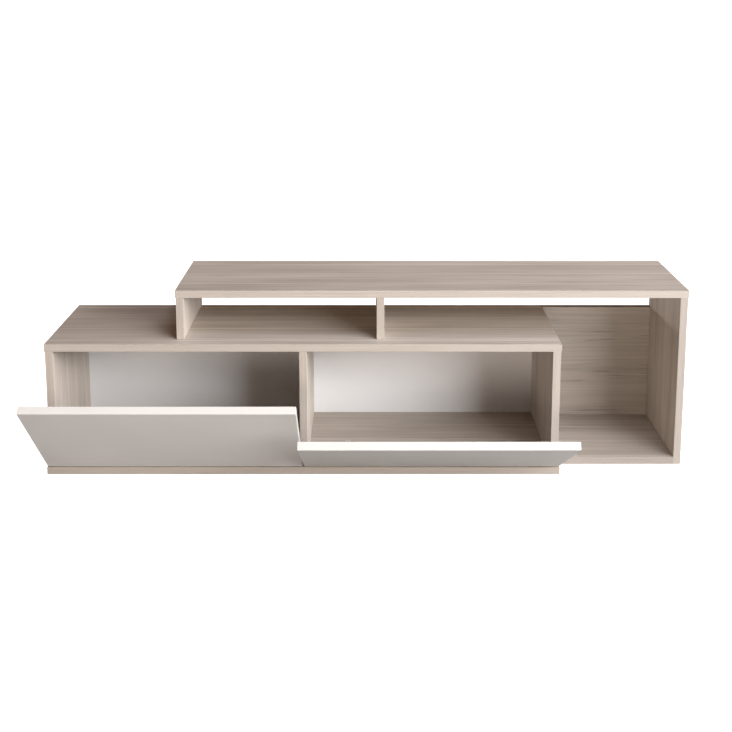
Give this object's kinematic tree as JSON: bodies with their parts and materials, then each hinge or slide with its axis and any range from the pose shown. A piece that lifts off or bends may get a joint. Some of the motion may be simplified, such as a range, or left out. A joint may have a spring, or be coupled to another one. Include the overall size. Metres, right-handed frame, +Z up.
{
  "type": "tv stand with doors",
  "caption": "Low tv stand of wood-decor boards: a lower cabinet with drop-down doors and a shifted upper shelf unit with an open end bay.",
  "frame": {"origin": "on the floor, at the middle of the overall width and of the bottom board's depth", "axes": "+X to the right along the length, +Y from the door front to the back, +Z up"},
  "size_m": [1.5, 0.5825, 0.429],
  "materials": {
    "wood_decor": "matt melamine-faced board with a light greige wood print",
    "white_door": "smooth white melamine",
    "white_hardboard": "white painted hardboard",
    "hinge_steel": "nickel-plated pressed steel",
    "screw_steel": "zinc-plated steel",
    "dowel_wood": "plain beech"
  },
  "bodies": {
    "stand": {"hinge_1_arm": "hinge_steel", "hinge_1_plate": "hinge_steel", "hinge_2_arm": "hinge_steel", "hinge_2_plate": "hinge_steel", "hinge_3_arm": "hinge_steel", "hinge_3_plate": "hinge_steel", "hinge_4_arm": "hinge_steel", "hinge_4_plate": "hinge_steel", "lower_back_panel": "white_hardboard", "lower_bottom_board": "wood_decor", "lower_divider": "wood_decor", "lower_divider_dowel_front": "dowel_wood", "lower_divider_dowel_rear": "dowel_wood", "lower_divider_screw_front": "screw_steel", "lower_divider_screw_rear": "screw_steel", "lower_left_side": "wood_decor", "lower_left_side_dowel_front": "dowel_wood", "lower_left_side_dowel_rear": "dowel_wood", "lower_left_side_screw_front": "screw_steel", "lower_left_side_screw_rear": "screw_steel", "lower_right_side": "wood_decor", "lower_right_side_dowel_front": "dowel_wood", "lower_right_side_dowel_rear": "dowel_wood", "lower_right_side_screw_front": "screw_steel", "lower_right_side_screw_rear": "screw_steel", "lower_top_board": "wood_decor", "right_back_board": "wood_decor", "right_back_dowel_high": "dowel_wood", "right_back_dowel_low": "dowel_wood", "right_bottom_board": "wood_decor", "right_bottom_dowel_front": "dowel_wood", "right_bottom_dowel_rear": "dowel_wood", "splice_dowel_front": "dowel_wood", "splice_dowel_rear": "dowel_wood", "upper_left_support": "wood_decor", "upper_left_support_dowel_front": "dowel_wood", "upper_left_support_dowel_rear": "dowel_wood", "upper_left_support_screw_front": "screw_steel", "upper_left_support_screw_rear": "screw_steel", "upper_middle_support": "wood_decor", "upper_middle_support_dowel_front": "dowel_wood", "upper_middle_support_dowel_rear": "dowel_wood", "upper_middle_support_screw_front": "screw_steel", "upper_middle_support_screw_rear": "screw_steel", "upper_right_side": "wood_decor", "upper_right_side_dowel_front": "dowel_wood", "upper_right_side_dowel_rear": "dowel_wood", "upper_top_board": "wood_decor"},
    "left_flap": {"left_door": "white_door", "hinge_1_cup": "hinge_steel", "hinge_2_cup": "hinge_steel"},
    "right_flap": {"right_door": "white_door", "hinge_3_cup": "hinge_steel", "hinge_4_cup": "hinge_steel"},
    "left_links": {"hinge_1_link": "hinge_steel", "hinge_2_link": "hinge_steel"},
    "right_links": {"hinge_3_link": "hinge_steel", "hinge_4_link": "hinge_steel"}
  },
  "joints": [
    {"name": "left_door_hinge", "type": "hinge", "parent": "stand", "child": "left_flap", "pos_m": [-0.45, -0.166, 0.02], "axis": [1, 0, 0], "range_deg": [-43.4, 46.6]},
    {"name": "right_door_hinge", "type": "hinge", "parent": "stand", "child": "right_flap", "pos_m": [0.15, -0.166, 0.02], "axis": [1, 0, 0], "range_deg": [-58.6, 31.4]},
    {"name": "left_link_pivot", "type": "hinge", "parent": "stand", "child": "left_links", "pos_m": [-0.45, -0.1445, 0.026], "axis": [1, 0, 0], "range_deg": [-30.95, 33.15]},
    {"name": "right_link_pivot", "type": "hinge", "parent": "stand", "child": "right_links", "pos_m": [0.15, -0.1445, 0.026], "axis": [1, 0, 0], "range_deg": [-41.43, 22.67]}
  ],
  "couplings": [
    {"joint": "left_link_pivot", "follows": "left_door_hinge", "ratio": 0.69},
    {"joint": "right_link_pivot", "follows": "right_door_hinge", "ratio": 0.69}
  ]
}
